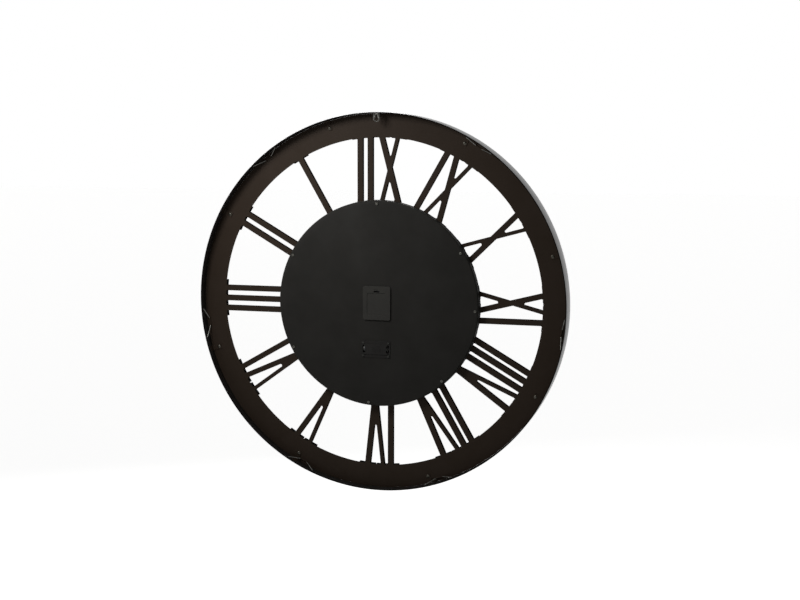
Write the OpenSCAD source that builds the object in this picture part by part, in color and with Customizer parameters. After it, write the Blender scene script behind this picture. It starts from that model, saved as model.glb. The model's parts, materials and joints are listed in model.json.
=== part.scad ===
// Large skeleton wall clock with Roman numerals: a deep rolled rim, a pierced numeral
// plate with raised numerals, a shallow rear pan over a battery movement, and two hands.
// Millimetres. +Z is up, the dial faces -Y and the wall is the plane Y = 0. The origin
// is the centre of the keyhole in the hanger. Clock angles run clockwise from 12,
// as read from the front.

/* [Rim] */
// Outside diameter of the rim
rim_d = 760; // [600:10:1000]
// Depth of the rim, from the wall to its front edge
rim_depth = 50; // [46:1:80]
// Thickness of the rolled band
rim_t = 2; // [1:0.25:3]
// Width of the lip turned in at the front edge
rim_lip = 10; // [6:1:16]

/* [Numeral plate] */
// Distance from the wall to the rear face of the plate
plate_recess = 20; // [19:1:26]
// Thickness of the plate
plate_t = 1.5; // [1:0.25:3]
// Width of the ring inside the rim
ring_w = 46.5; // [36:0.5:70]
// Diameter of the hub disc
hub_d = 415; // [300:1:560]
// Clearance between the plate and the inside of the rim
plate_gap = 0.25; // [0.1:0.05:1]
// Radius in the corners of the cut-outs
cut_r = 2.8; // [1:0.2:3]

/* [Numerals] */
// How far the raised numerals stand out of the plate
numeral_h = 8; // [3:0.5:12]
// Width of the thick strokes
thick_w = 11; // [8:0.5:12]
// Width of the thin strokes
thin_w = 7.5; // [5:0.5:9]
// How far a serif at the ring runs past its stroke
serif_w = 11.2; // [4:0.2:11.2]
// How far a serif at the hub runs past its stroke
foot_serif_w = 9.6; // [4:0.2:9.6]
// Height of a serif
serif_h = 10.5; // [5:0.5:12]
// How far the numeral feet reach in over the hub
foot_lap = 11.5; // [11:0.5:16]
// How far the numeral heads reach out over the ring
head_lap = 9.5; // [9:0.5:16]

/* [Rear pan] */
// How far the pan's edge stays inside the edge of the hub
pan_inset = 0.5; // [0.5:0.5:6]
// Height of the pan's flat face above the plate
pan_h = 16; // [16:0.25:18]
// Thickness of the pan
pan_t = 1; // [0.6:0.1:1.2]
// Distance from the pan's edge in to its screws
screw_inset = 6.5; // [6:0.5:12]

/* [Hanger] */
// Width of the hanger tongue
hanger_w = 14; // [12:0.2:24]
// Thickness of the hanger strip
hanger_t = 1.5; // [1:0.1:2.5]
// Radius of the keyhole's round hole
keyhole_r = 3.6; // [2.2:0.1:4]
// Width of the keyhole's slot
keyslot_w = 3.2; // [2.4:0.1:4]
// Distance from the inside of the rim to the keyhole centre
keyhole_drop = 12; // [10:0.5:20]

/* [Movement] */
// Width and height of the square movement case
case_w = 56; // [56:1:60]
// Wall of the movement case
case_wall = 1.2; // [0.8:0.1:1.4]
// Radius of the threaded stem
stem_r = 3.9; // [3.8:0.05:4.2]
// Radius of the hour pipe
pipe_r = 2.55; // [2.4:0.05:2.8]
// Radius of the minute arbor
arbor_r = 1.5; // [1.2:0.05:1.7]
// Running clearance of turning parts, on the radius
run_gap = 0.05; // [0.02:0.01:0.08]

/* [Hands] */
// Length of the hour hand from the centre to its tip
hour_len = 122; // [80:1:170]
// Length of the minute hand from the centre to its tip
minute_len = 182; // [120:1:190]
// Thickness of the hands
hand_t = 1.2; // [0.8:0.1:1.4]
// Hour shown
show_hour = 10; // [0:1:11]
// Minute shown
show_minute = 10; // [0:1:59]

/* [Access cover] */
// Width of the cover over the movement
cover_w = 56.5; // [54:0.5:70]
// Height of the cover
cover_h = 67.5; // [66:0.5:80]
// Height of the cover's centre above the clock axis
cover_z = 2.25; // [1:0.25:4]
// Wall of the cover
cover_t = 1.4; // [1:0.1:1.5]

/* [Battery box] */
// Length of the cell
cell_len = 50.5; // [50.5:0.5:52]
// Diameter of the cell
cell_d = 14.1; // [13.5:0.1:14.2]
// Height of the box's centre below the clock axis
box_drop = 91; // [85:1:150]
// Sideways place of the box's centre
box_x = 2; // [-10:1:10]

/* [Hidden] */
$fn = 96;

rim_r = rim_d / 2;
rim_in_r = rim_r - rim_t;
ring_r = rim_in_r - ring_w;
hub_r = hub_d / 2;
pan_r = hub_r - pan_inset;
pan_recess = plate_recess - pan_h;     // depth of the pan's flat face
screw_circle_r = pan_r - screw_inset;
axis_drop = rim_in_r - keyhole_drop;   // the clock axis lies this far below the origin
touch = 0.02;                          // clearance of curved faces that seat in each other
lap = 0.6;                             // how far joined shapes run into each other
rim_bend_r = 3;
pan_bend_r = 3;
plate_front = plate_recess + plate_t;

// ---------------------------------------------------------------- numerals

// Letters of each numeral and the place of each letter's centre, for feet on design_r
design_r = 196;
NUMERALS = [
    ["I", [0]],
    ["II", [-10.5, 10.5]],
    ["III", [-21, 0, 21]],
    ["IV", [-24, 12]],
    ["V", [2]],
    ["VI", [-8.5, 24]],
    ["VII", [-19.5, 12.5, 31]],
    ["VIII", [-27.5, 4.5, 23, 41]],
    ["IX", [-27.5, 9.5]],
    ["X", [2.5]],
    ["XI", [-6, 30.5]],
    ["XII", [-21.5, 18.5, 39.5]]
];
v_head_w = 34;      // distance between the two strokes of a V, at the head
v_foot_w = 2.8;     // and at the foot
x_w = 37.7;         // distance between the two strokes of an X, at head and foot
point_w = 3;        // width of the blunt point under a V

foot_r = hub_r - foot_lap;
head_r = ring_r + head_lap;
letter_k = foot_r / design_r;          // letters are as wide as their circle allows
thick = thick_w * letter_k;
thin = thin_w * letter_k;

// A stroke is its foot place, its head place and its width
function strokes(letter, c) =
    letter == "I" ? [[c, c, thick]] :
    letter == "V" ? [[c - v_foot_w / 2 * letter_k, c - v_head_w / 2 * letter_k, thick],
                     [c + v_foot_w / 2 * letter_k, c + v_head_w / 2 * letter_k, thin]] :
                    [[c - x_w / 2 * letter_k, c + x_w / 2 * letter_k, thick],
                     [c + x_w / 2 * letter_k, c - x_w / 2 * letter_k, thin]];

// The place of a stroke's middle at radius r
function stroke_at(s, r) = s[0] + (s[1] - s[0]) * (r - foot_r) / (head_r - foot_r);

module stroke_2d(s, from_r, to_r) {
    a = stroke_at(s, from_r);
    b = stroke_at(s, to_r);
    polygon([[a - s[2] / 2, from_r], [a + s[2] / 2, from_r],
             [b + s[2] / 2, to_r], [b - s[2] / 2, to_r]]);
}

// The strokes of all numerals, as bars from inside the hub to inside the ring
module dial_bars() {
    for (i = [1:12]) clockwise(30 * i) for (j = [0:len(NUMERALS[i - 1][1]) - 1])
        for (s = strokes(NUMERALS[i - 1][0][j], NUMERALS[i - 1][1][j] * letter_k))
            stroke_2d(s, foot_r, head_r);
}

// The cut-outs between hub, ring and bars, with rounded corners
module cut_outs() {
    offset(r = cut_r, $fn = 24) offset(delta = -cut_r) difference() {
        circle(ring_r, $fn = 240);
        circle(hub_r, $fn = 240);
        dial_bars();
    }
}

module annulus(r0, r1) {
    difference() { circle(r1, $fn = 240); circle(r0, $fn = 240); }
}

// A slab serif for a stroke whose end is at c, curved like the ring or the hub it lies on
module serif_2d(c, w, past, r) {
    half = w / 2 + past * letter_k;
    intersection() {
        annulus(r, r + serif_h);
        translate([c - half, 0]) square([2 * half, r + serif_h]);
    }
}

// A raised letter: its strokes, slab serifs and, under a V, a blunt point
module raised_letter(letter, c) {
    legs = strokes(letter, c);
    intersection() {
        annulus(foot_r, head_r);
        for (s = legs) stroke_2d(s, letter == "V" ? hub_r - lap : foot_r - serif_h, head_r + lap);
    }
    for (s = legs) {
        serif_2d(s[1], s[2], serif_w, head_r - serif_h);
        if (letter != "V") serif_2d(s[0], s[2], foot_serif_w, foot_r);
    }
    if (letter == "V")
        polygon([[c - point_w / 2, foot_r], [c + point_w / 2, foot_r],
                 [stroke_at(legs[1], hub_r) + thin / 2, hub_r],
                 [stroke_at(legs[0], hub_r) - thick / 2, hub_r]]);
}

// ---------------------------------------------------------------- placing

// From the clock axis to the origin in the hanger
module on_axis() { translate([0, 0, -axis_drop]) children(); }
// A slab of a 2D shape drawn as seen from the front, from depth0 away from the wall
module slab(depth0, t) {
    on_axis() translate([0, -depth0, 0]) rotate([90, 0, 0]) linear_extrude(t) children();
}
// A profile of radius and depth, turned about the clock axis or about a place beside it
module turned(at = [0, 0]) {
    on_axis() translate([at.x, 0, at.y]) rotate([90, 0, 0]) rotate_extrude() children();
}
// A profile turned about the clock axis only as far as spans a width at the rim, at angle a
module turned_part(a, width) {
    span = width / rim_in_r * 180 / PI;
    on_axis() rotate([90, 0, 0]) rotate([0, 0, 90 - a - span / 2])
        rotate_extrude(angle = span) children();
}
module clockwise(a) { rotate([0, 0, -a]) children(); }
// Radii r0 to r1, depths d0 to d1, in a turned profile
module zone(r0, r1, d0, d1) { translate([r0, d0]) square([r1 - r0, d1 - d0]); }
// A quarter of a bent sheet, its outside radius r, towards +x and the side of y given
module sheet_bend(at, r, t, side) {
    translate(at) intersection() {
        difference() { circle(r); circle(r - t); }
        translate([0, side > 0 ? 0 : -r]) square(r);
    }
}
module rounded_rect(w, h, r) {
    union() {
        square([w - 2 * r, h], center = true);
        square([w, h - 2 * r], center = true);
        for (x = [-1, 1], y = [-1, 1]) translate([x * (w / 2 - r), y * (h / 2 - r)]) circle(r);
    }
}

// ---------------------------------------------------------------- rim and plate

module rim_band() {
    color([0.2, 0.17, 0.15]) turned() {
        zone(rim_in_r, rim_r, 0, rim_depth - rim_bend_r);
        zone(rim_r - rim_lip, rim_r - rim_bend_r, rim_depth - rim_t, rim_depth);
        sheet_bend([rim_r - rim_bend_r, rim_depth - rim_bend_r], rim_bend_r, rim_t, 1);
    }
}

module numeral_plate() {
    color([0.17, 0.14, 0.12]) slab(plate_recess, plate_t) difference() {
        circle(rim_in_r - plate_gap);
        cut_outs();
        circle(stem_r + touch);
        for (a = clip_angles) clockwise(a) translate([0, rivet_r_at]) circle(rivet_shank_r + touch);
    }
}

module numeral(i) {
    letters = NUMERALS[i - 1];
    color([0.12, 0.11, 0.1]) slab(plate_front, numeral_h) clockwise(30 * i)
        for (j = [0:len(letters[1]) - 1]) raised_letter(letters[0][j], letters[1][j] * letter_k);
}

// ---------------------------------------------------------------- clips and springs

clip_angles = [for (k = [0:7]) 16.5 + 45 * k];
clip_w = 10;
clip_t = 1.2;
clip_leg = 19;       // along the plate
clip_rise = 13;      // along the rim
clip_bend_r = 2.5;
rivet_shank_r = 1.6;
rivet_head_r = 3.6;
rivet_head_h = 1.5;
rivet_r_at = rim_in_r - 14.5;

// Bent angle clips between the rim's inside and the plate's rear face
module plate_clips() {
    out_r = rim_in_r - touch;
    color([0.16, 0.13, 0.11]) for (a = clip_angles) difference() {
        turned_part(a, clip_w) {
            zone(rim_in_r - clip_leg, out_r - clip_bend_r, plate_recess - clip_t, plate_recess);
            zone(out_r - clip_t, out_r, plate_recess - clip_rise, plate_recess - clip_bend_r);
            sheet_bend([out_r - clip_bend_r, plate_recess - clip_bend_r], clip_bend_r, clip_t, 1);
        }
        turned(rivet_r_at * [sin(a), cos(a)]) zone(0, rivet_shank_r + touch, 0, rim_depth);
    }
}

// Dome-headed rivets through clip and plate, with a flat head at the front
module clip_rivets() {
    dome_r = (rivet_head_r * rivet_head_r + rivet_head_h * rivet_head_h) / (2 * rivet_head_h);
    head_at = plate_recess - clip_t;
    color([0.3, 0.28, 0.26]) for (a = clip_angles)
        turned(rivet_r_at * [sin(a), cos(a)]) {
            intersection() {
                zone(0, rivet_head_r, head_at - rivet_head_h, head_at);
                translate([0, head_at - rivet_head_h + dome_r]) circle(dome_r);
            }
            zone(0, rivet_shank_r, head_at - touch, plate_front + touch);
            zone(0, rivet_head_r - 1, plate_front, plate_front + 0.8);
        }
}

spring_angles = [39, 98, 154, 200, 263, 327];
spring_r = 1.25;         // radius of the wire
spring_foot = 14;        // length of the foot on the plate
spring_reach = 30;       // half the span where the wire meets the rim
spring_in = 7;           // distance from the rim to the foot
spring_end_depth = 3.5;
spring_bend = 4;

function unit(v) = v / norm(v);
// A rounded corner at b on the way from a to c, as points that a wire follows
function bend(a, b, c, r) =
    let (p = b + r * unit(a - b), q = b + r * unit(c - b))
    [for (t = [0:0.25:1]) (1 - t) * (1 - t) * p + 2 * t * (1 - t) * b + t * t * q];

// A wire of radius r through a list of points, none of which it passes along the axis ref
wire_sides = 10;
module bent_wire(points, r, ref) {
    last = len(points) - 1;
    rings = [for (i = [0:last])
        let (t = unit(points[min(i + 1, last)] - points[max(i - 1, 0)]),
             u = unit(cross(t, ref)), v = cross(t, u))
        for (k = [0:wire_sides - 1])
            points[i] + r * (cos(360 * k / wire_sides) * u + sin(360 * k / wire_sides) * v)];
    start = [for (k = [0:wire_sides - 1]) k];
    end = [for (k = [wire_sides - 1:-1:0]) last * wire_sides + k];
    sides = [for (i = [0:last - 1], k = [0:wire_sides - 1])
        let (a = i * wire_sides + k, b = i * wire_sides + (k + 1) % wire_sides)
        each [[a, a + wire_sides, b], [b, a + wire_sides, b + wire_sides]]];
    polyhedron(rings, concat([start], sides, [end]));
}

// Bent wire springs, their feet on the plate and their ends against the rim
module retaining_springs() {
    foot_y = -plate_recess + spring_r;
    foot_z = rim_in_r - spring_in;
    end_z = sqrt(pow(rim_in_r - spring_r, 2) - spring_reach * spring_reach);
    knees = [for (side = [-1, 1]) [side * spring_foot / 2, foot_y, foot_z]];
    ends = [for (side = [-1, 1]) [side * spring_reach, -spring_end_depth, end_z]];
    route = concat([ends[0]], bend(ends[0], knees[0], knees[1], spring_bend),
                   bend(knees[0], knees[1], ends[1], spring_bend), [ends[1]]);
    color([0.6, 0.6, 0.58]) for (a = spring_angles) on_axis() rotate([0, a, 0])
        bent_wire(route, spring_r, [0, 0, 1]);
}

// ---------------------------------------------------------------- hanger

hanger_leg = 14;         // along the rim, behind the tongue
hanger_web = 1.8;        // metal left under the keyhole
hanger_below = keyhole_r + hanger_web;
slot_up = 7;

// Tongue with an inverted keyhole, bent forward along the inside of the rim
module hanger_bracket() {
    color([0.72, 0.72, 0.7]) {
        slab(0, hanger_t) difference() {
            intersection() {
                circle(rim_in_r - touch);
                translate([0, axis_drop]) {
                    translate([0, hanger_w / 2 - hanger_below]) circle(hanger_w / 2);
                    translate([-hanger_w / 2, hanger_w / 2 - hanger_below])
                        square([hanger_w, keyhole_drop + hanger_below]);
                }
            }
            translate([0, axis_drop]) {
                circle(keyhole_r);
                translate([-keyslot_w / 2, 0]) square([keyslot_w, slot_up]);
                translate([0, slot_up]) circle(keyslot_w / 2);
            }
        }
        turned_part(0, hanger_w)
            zone(rim_in_r - touch - hanger_t, rim_in_r - touch, hanger_t - lap, hanger_leg);
    }
}

// ---------------------------------------------------------------- rear pan

// Battery box sizes, which the pan's cut-out shares
tray_wall = 0.8;
tray_flange_t = 1;
cell_gap_neg = 3.5;      // room for the spring at the cell's negative end
cell_gap_pos = 0.5;      // room for the contact at the positive end
tray_w = cell_len + cell_gap_neg + cell_gap_pos + 2 * tray_wall;
tray_h = cell_d + 1.2 + 2 * tray_wall;
tray_flange_w = tray_w + 4.4;
tray_flange_h = 34;
tray_pitch = [52.5, 26.5];
tray_screw_places = [for (x = [-1, 1], y = [-1, 1])
    [box_x + x * tray_pitch.x / 2, -box_drop + y * tray_pitch.y / 2]];
lid_w = 50;
lid_h = 21;
lid_t = 1.3;
lid_skirt = 0.8;
lid_notch = [6, 14];     // finger notch at each end of the lid, half of it past the end
flange_at = pan_recess - tray_flange_t;
cell_at = flange_at + lid_t + 0.4 + cell_d / 2;              // depth of the cell's axis
tray_deep = cell_at + cell_d / 2 + 0.1 + tray_wall;

screw_angles = [0, 62, 118, 175, 222, 268, 302];
standoff_r = 3.4;
screw_r = 1.45;
screw_head_h = 1.8;
pan_head_r = 2.8;
tray_head_r = 2.4;
screw_len = 9;
opening_w = cover_w - 5.5;
opening_h = cover_h - 4;
knuckle_r = 0.9;               // knuckles on the bottom edge of the access cover
knuckle_len = 6;
knuckle_gap = 0.15;
knuckle_places = [-19, 19];
knuckle_z = cover_z - cover_h / 2;
tab_places = [-9, 9];
tray_cut_w = tray_w + 0.6;
tray_cut_h = tray_h + 0.6;

module pan_profile() {
    zone(0, pan_r - pan_bend_r, pan_recess, pan_recess + pan_t);
    zone(pan_r - pan_t, pan_r, pan_recess + pan_bend_r, plate_recess);
    sheet_bend([pan_r - pan_bend_r, pan_recess + pan_bend_r], pan_bend_r, pan_t, -1);
}

module rear_pan() {
    color([0.16, 0.16, 0.155]) difference() {
        turned() pan_profile();
        slab(pan_recess - lap, pan_t + 2 * lap) {
            translate([0, cover_z]) rounded_rect(opening_w, opening_h, 3);
            for (x = knuckle_places) translate([x, knuckle_z])
                square([knuckle_len + 2 * knuckle_gap, 2 * (knuckle_r + knuckle_gap)], center = true);
            translate([box_x, -box_drop]) square([tray_cut_w, tray_cut_h], center = true);
            for (a = screw_angles) clockwise(a) translate([0, screw_circle_r])
                circle(screw_r + touch);
            for (p = tray_screw_places) translate(p) circle(screw_r + touch);
        }
    }
}

// Round pillars between the plate and the pan
module pan_standoffs() {
    color([0.55, 0.52, 0.45]) for (a = screw_angles) turned(screw_circle_r * [sin(a), cos(a)])
        difference() {
            zone(0, standoff_r, pan_recess + pan_t, plate_recess);
            zone(0, screw_r + touch, pan_recess, pan_recess + screw_len + pan_t);
        }
}

// A pan-head screw with a cross recess, its head seated at a depth
module pan_head_screw(at, seat, len, head_r) {
    dome_r = (head_r * head_r + screw_head_h * screw_head_h) / (2 * screw_head_h);
    difference() {
        turned(at) {
            intersection() {
                zone(0, head_r, seat - screw_head_h, seat);
                translate([0, seat - screw_head_h + dome_r]) circle(dome_r);
            }
            zone(0, screw_r, seat - touch, seat + len);
        }
        slab(seat - screw_head_h - lap, lap + 0.9) translate(at) {
            square([0.7, 2.8], center = true);
            square([2.8, 0.7], center = true);
        }
    }
}

module pan_screws() {
    color([0.75, 0.75, 0.72]) for (a = screw_angles)
        pan_head_screw(screw_circle_r * [sin(a), cos(a)], pan_recess, screw_len, pan_head_r);
}

// ---------------------------------------------------------------- access cover

cover_out = pan_recess - 3;            // depth of the cover's outer face
cover_dish = 0.9;                      // depth of the dished panel
dish_w = cover_w - 16.5;
dish_top = cover_h / 2 - 13.5;
dish_bottom = cover_h / 2 - 9.5;
finger_slot = [12, 3.6];
latch_w = 12;

// The room inside the cover, less its tabs and its latch
module cover_inside() {
    translate([0, cover_z]) difference() {
        rounded_rect(cover_w - 2 * cover_t, cover_h - 2 * cover_t, 4 - cover_t);
        for (x = tab_places) translate([x, -opening_h / 2 + 0.7]) square([6, 0.8], center = true);
        translate([0, opening_h / 2 - 0.8]) square([latch_w, 1], center = true);
    }
}

// Outline of the dished panel
module dish_2d(grow) {
    translate([0, cover_z + (dish_top - dish_bottom) / 2])
        rounded_rect(dish_w + 2 * grow, dish_top + dish_bottom + 2 * grow, 3);
}

// Shallow box over the movement: raised margin, dished panel, finger slot and latch
module access_cover() {
    color([0.2, 0.2, 0.19]) difference() {
        union() {
            slab(cover_out, pan_recess - cover_out) translate([0, cover_z])
                rounded_rect(cover_w, cover_h, 4);
            // round knuckles on the bottom edge, which turn in slots in the pan
            for (x = knuckle_places) on_axis() translate([x - knuckle_len / 2, -pan_recess, knuckle_z])
                rotate([0, 90, 0]) cylinder(h = knuckle_len, r = knuckle_r, $fn = 48);
            // locating tabs at the bottom and latch tongue at the top, inside the opening
            for (x = tab_places)
                slab(pan_recess - lap, pan_t + 1 + lap) translate([x, cover_z - opening_h / 2 + 0.7])
                    square([6, 0.8], center = true);
            slab(pan_recess - lap, pan_t + 1 + lap) translate([0, cover_z + opening_h / 2 - 0.8])
                square([latch_w, 1], center = true);
        }
        slab(cover_out + cover_t, cover_dish) difference() {
            cover_inside();
            dish_2d(cover_t / 2);
        }
        slab(cover_out + cover_t + cover_dish, pan_recess - cover_out) cover_inside();
        slab(cover_out - lap, lap + cover_dish) dish_2d(0);
        slab(cover_out - lap, cover_t + 2 * lap) translate([0, cover_z + cover_h / 2 - 10.4])
            rounded_rect(finger_slot.x, finger_slot.y, finger_slot.y / 2 - touch);
        slab(cover_out - lap, lap + 0.7) translate([0, cover_z + cover_h / 2 - 6.8])
            square([latch_w - 3, 1.4], center = true);
    }
}

// ---------------------------------------------------------------- movement

washer_t = 1;                                   // rubber washer between case and plate
case_front = plate_recess - washer_t;           // depth of the case's front face
case_back = pan_recess + pan_t + 0.3;           // depth of the case's back face
floor_depth = case_front - case_wall;           // depth of the inside of the front
case_split = (case_front + case_back) / 2;
train_h = floor_depth - case_back - case_wall - 0.3;   // room for the train and its bridge
case_in = case_w - 2 * case_wall;

// Places of the wheels, as seen from the front, and their layers above the front floor
pinion_z = 8;
centre_z = 64;  centre_m = 0.4;
third_z = 60;   third_m = 0.3;
second_z = 40;  second_m = 0.3;
fifth_z = 48;   fifth_m = 0.25;
cannon_z = 12;  motion_z = 36;  set_z = 18;  motion_m = 0.5;
hour_pinion_z = 10;  hour_z = 40;

function polar(r, a) = r * [cos(a), sin(a)];
function mesh_r(m, z1, z2) = m * (z1 + z2) / 2;
third_dir = 220;
second_dir = 120;
fifth_dir = 80;
rotor_dir = 70;
motion_dir = -60;
set_dir = 10;
third_at = polar(mesh_r(centre_m, centre_z, pinion_z), third_dir);
second_at = third_at + polar(mesh_r(third_m, third_z, pinion_z), second_dir);
fifth_at = second_at + polar(mesh_r(second_m, second_z, pinion_z), fifth_dir);
rotor_at = fifth_at + polar(mesh_r(fifth_m, fifth_z, pinion_z), rotor_dir);
motion_at = polar(mesh_r(motion_m, cannon_z, motion_z), motion_dir);
set_at = motion_at + polar(mesh_r(motion_m, motion_z, set_z), set_dir);
hour_m = 2 * norm(motion_at) / (hour_pinion_z + hour_z);

hour_layer = [0.3, 1.5];
motion_layer = [2.1, 3.3];
centre_layer = [4.2, 5.0];
third_layer = [5.9, 6.6];
second_layer = [7.5, 8.1];
fifth_layer = [9.0, 9.5];
bridge_layer = [train_h - 0.9, train_h];
magnet_layer = [2, 4.6];

shaft_r = 0.6;
pivot_r = 0.4;
pivot_len = 0.8;
motion_post_r = 0.8;

// Half the angle of a tooth at radius r, for an involute of pressure angle 25
press = 25;
backlash = 0.14;
function involute(a) = tan(a) * 180 / PI - a;
function tooth_half(m, z, r) =
    let (base = m * z / 2 * cos(press))
    90 * (1 - backlash) / z + involute(press) - (r > base ? involute(acos(base / r)) : 0);
function gear_points(m, z, turn) =
    let (root = m * (z / 2 - 0.95), tip = m * (z / 2 + 0.7),
         flank = z > 20 ? [root, tip] : [root, m * z / 2, tip],
         n = len(flank))
    [for (k = [0:z - 1], j = [0:2 * n - 1])
        let (r = j < n ? flank[j] : flank[2 * n - 1 - j])
        polar(r, turn + 360 * k / z + (j < n ? -1 : 1) * tooth_half(m, z, r))];
// Turn of a second gear that puts it in mesh with a first one of z1 teeth turned by t1
function mesh_turn(z1, t1, dir, z2) = dir + 180 + (z1 * (dir - t1) - 180) / z2;

// Depth range of a layer above the front floor
module layer(l) { slab(floor_depth - l[1], l[1] - l[0]) children(); }
function deeper(l, by) = [l[0] - by, l[1] + by];
// A turned zone whose heights are measured above the front floor
module up_zone(r0, r1, h0, h1) { zone(r0, r1, floor_depth - h1, floor_depth - h0); }

module toothed(m, z, turn, at, l) {
    layer(l) translate(at) polygon(gear_points(m, z, turn));
}

// A wheel with windows between its spokes
module spoked_wheel(m, z, turn, at, l, hub) {
    rim_in = m * (z / 2 - 0.95) - 0.9;
    layer(l) translate(at) difference() {
        polygon(gear_points(m, z, turn));
        for (k = [0:3]) rotate(45 + 90 * k) translate([(rim_in + hub) / 2, 0])
            circle(0.92 * (rim_in - hub) / 2);
    }
}

// Shaft with a pivot at each end, from the front floor to the bridge
module pivoted_shaft(at) {
    turned(at) {
        up_zone(0, shaft_r, 0.25, bridge_layer[0] - 0.25);
        up_zone(0, pivot_r, -pivot_len, 0.25);
        up_zone(0, pivot_r, bridge_layer[0] - 0.25, bridge_layer[1] - 0.1);
    }
}

module train_wheel(at, m, z, turn, l, pin_m, pin_turn, pin_l) {
    pivoted_shaft(at);
    spoked_wheel(m, z, turn, at, l, 1.6);
    toothed(pin_m, pinion_z, pin_turn, at, deeper(pin_l, 0.2));
}

module centre_wheel() {
    color([0.85, 0.84, 0.8]) difference() {
        union() {
            spoked_wheel(centre_m, centre_z, third_dir, [0, 0], centre_layer, 2.6);
            turned() up_zone(0, 2.4, motion_layer[1] + 0.3, centre_layer[1]);
        }
        turned() up_zone(0, clutch_r + run_gap, 0, bridge_layer[0]);
    }
}

module third_wheel() {
    color([0.9, 0.88, 0.8]) train_wheel(third_at, third_m, third_z, second_dir, third_layer,
        centre_m, mesh_turn(centre_z, third_dir, third_dir, pinion_z), centre_layer);
}

module second_wheel() {
    color([0.8, 0.82, 0.85]) train_wheel(second_at, second_m, second_z, fifth_dir, second_layer,
        third_m, mesh_turn(third_z, second_dir, second_dir, pinion_z), third_layer);
}

module fifth_wheel() {
    color([0.9, 0.88, 0.8]) train_wheel(fifth_at, fifth_m, fifth_z, rotor_dir, fifth_layer,
        second_m, mesh_turn(second_z, fifth_dir, fifth_dir, pinion_z), second_layer);
}

magnet_r = 2.4;

module rotor_pinion() {
    color([0.95, 0.95, 0.92]) {
        pivoted_shaft(rotor_at);
        toothed(fifth_m, pinion_z, mesh_turn(fifth_z, rotor_dir, rotor_dir, pinion_z),
                rotor_at, deeper(fifth_layer, 0.2));
    }
}

module rotor_magnet() {
    color([0.35, 0.35, 0.37]) turned(rotor_at)
        up_zone(shaft_r + touch, magnet_r, magnet_layer[0], magnet_layer[1]);
}

motion_turn = mesh_turn(cannon_z, motion_dir, motion_dir, motion_z);

module motion_wheel() {
    color([0.9, 0.88, 0.8]) difference() {
        union() {
            spoked_wheel(motion_m, motion_z, motion_turn, motion_at, motion_layer, 2.8);
            toothed(hour_m, hour_pinion_z, 0, motion_at, [0.2, motion_layer[0] + lap]);
        }
        turned(motion_at) up_zone(0, motion_post_r + run_gap, 0, centre_layer[1]);
    }
}

module hour_wheel() {
    color([0.85, 0.84, 0.8]) difference() {
        union() {
            toothed(hour_m, hour_z, mesh_turn(hour_pinion_z, 0, motion_dir + 180, hour_z),
                    [0, 0], hour_layer);
            turned() zone(0, pipe_r, floor_depth - hour_layer[1], hour_pipe_end);
        }
        turned() zone(0, arbor_r + run_gap, 0, rim_depth);
    }
}

clutch_r = 1.0;
cannon_turn = motion_dir;

// Cannon pinion and arbor in one, with the journal that the centre wheel slips on
module minute_arbor() {
    color([0.8, 0.7, 0.4]) {
        turned() {
            zone(0, arbor_r, floor_depth - motion_layer[1], hand_nut_at + 1);
            zone(0, 2.2, hour_pipe_end + 0.3, minute_hand_at);
            up_zone(0, clutch_r, motion_layer[1] - lap, centre_layer[1] + 0.7);
            up_zone(0, 1.6, centre_layer[1] + 0.25, centre_layer[1] + 0.7);
            up_zone(0, shaft_r, centre_layer[1] + 0.6, bridge_layer[0] - 0.25);
            up_zone(0, pivot_r, bridge_layer[0] - 0.3, bridge_layer[1] - 0.1);
        }
        toothed(motion_m, cannon_z, cannon_turn, [0, 0], motion_layer);
    }
}

knob_r = 5;
knob_shaft_r = 1;

// Setting wheel, shaft and knurled knob
module set_knob() {
    color([0.85, 0.85, 0.82]) {
        toothed(motion_m, set_z, mesh_turn(motion_z, motion_turn, set_dir, set_z),
                set_at, motion_layer);
        turned(set_at) {
            up_zone(0, knob_shaft_r, 0.25, bridge_layer[1]);
            up_zone(0, pivot_r, -pivot_len, 0.3);
            zone(0, 1.8, case_back - 1.9, floor_depth - bridge_layer[1] + lap);
        }
        slab(case_back - 1.9, 1.6) translate(set_at) difference() {
            circle(knob_r);
            for (a = [0:15:345]) rotate(a) translate([knob_r + 0.35, 0]) circle(0.7, $fn = 24);
        }
    }
}

// ---------------------------------------------------------------- movement case

post_r = 1.5;
stake_r = 0.8;
post_pitch = 10;          // from the rotor to a motor post, sideways
motor_posts = [for (x = [-1, 1]) rotor_at + [x * post_pitch, 3.8]];
bridge_posts = concat(motor_posts, [[-22.5, -16], [-6, -19.5]]);

module pivot_hole(at) {
    turned(at) up_zone(0, pivot_r + run_gap, -0.9, 1);
}

module movement_front_case() {
    color([0.13, 0.13, 0.14]) {
        difference() {
            slab(case_split, case_front - case_split) rounded_rect(case_w, case_w, 4);
            slab(0, floor_depth) rounded_rect(case_in, case_in, 4 - case_wall);
            turned() zone(0, stem_flange_r + touch, floor_depth - 1, case_front + 1);
            for (p = [third_at, second_at, fifth_at, rotor_at, set_at]) pivot_hole(p);
            // notch for the two leads
            slab(case_split - lap, 2.2 + lap) translate([0, -case_w / 2])
                square([5, 4], center = true);
        }
        turned(motion_at) up_zone(0, motion_post_r, -lap, centre_layer[0] - 0.4);
        for (p = bridge_posts) turned(p) {
            up_zone(0, post_r, -lap, bridge_layer[0]);
            up_zone(0, stake_r, bridge_layer[0] - lap, bridge_layer[1]);
        }
        for (p = board_pins) turned(p) {
            up_zone(0, post_r, -lap, board_layer[0]);
            up_zone(0, stake_r, board_layer[0] - lap, board_layer[1] + 0.4);
        }
    }
}

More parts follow.
